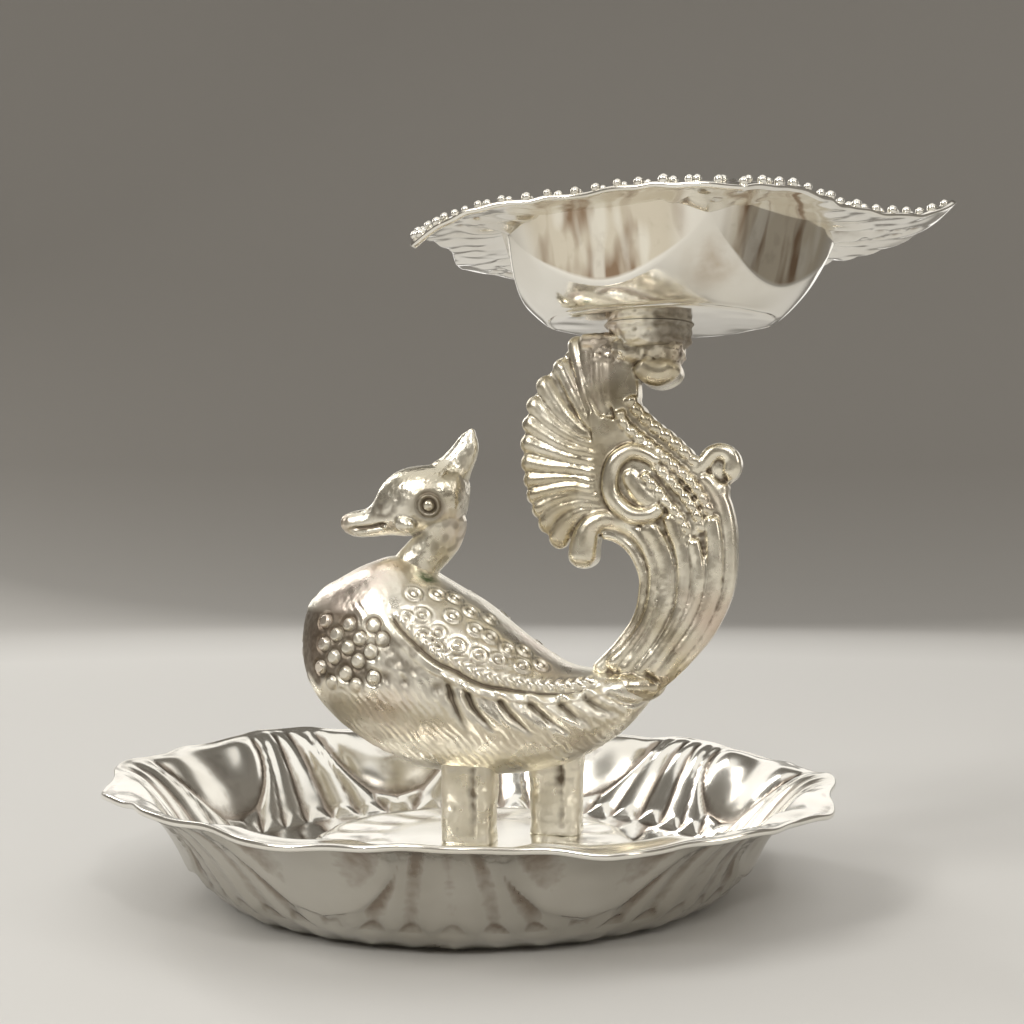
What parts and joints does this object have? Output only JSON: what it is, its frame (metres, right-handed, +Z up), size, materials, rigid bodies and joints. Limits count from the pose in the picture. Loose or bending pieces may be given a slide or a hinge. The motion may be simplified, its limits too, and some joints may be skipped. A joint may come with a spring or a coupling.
{
  "type": "aarti lamp",
  "caption": "Table oil lamp: a cast bird on a scalloped dish carries a petalled oil cup with wick spouts on its scroll tail.",
  "frame": {"origin": "centre of the plate's foot ring, on the surface that the lamp stands on", "axes": "+Z up, the bird faces -X, its left side is towards -Y"},
  "size_m": [0.1135, 0.0988, 0.0939],
  "materials": {
    "cast_silver_plate": "cast brass, silver plated, satin, with dark tarnish in the recesses",
    "polished_silver_sheet": "pressed brass sheet, silver plated and polished",
    "screw_steel": "plain steel"
  },
  "bodies": {
    "root": {"base_plate": "polished_silver_sheet", "left_leg": "cast_silver_plate", "right_leg": "cast_silver_plate", "body_left_shell": "cast_silver_plate", "body_right_shell": "cast_silver_plate", "head_and_neck": "cast_silver_plate", "scroll_tail": "cast_silver_plate", "cup_boss": "cast_silver_plate", "lamp_cup": "polished_silver_sheet", "cup_screw": "screw_steel", "cup_washer": "screw_steel", "leg_screws": "screw_steel", "leg_washers": "screw_steel"}
  },
  "joints": []
}
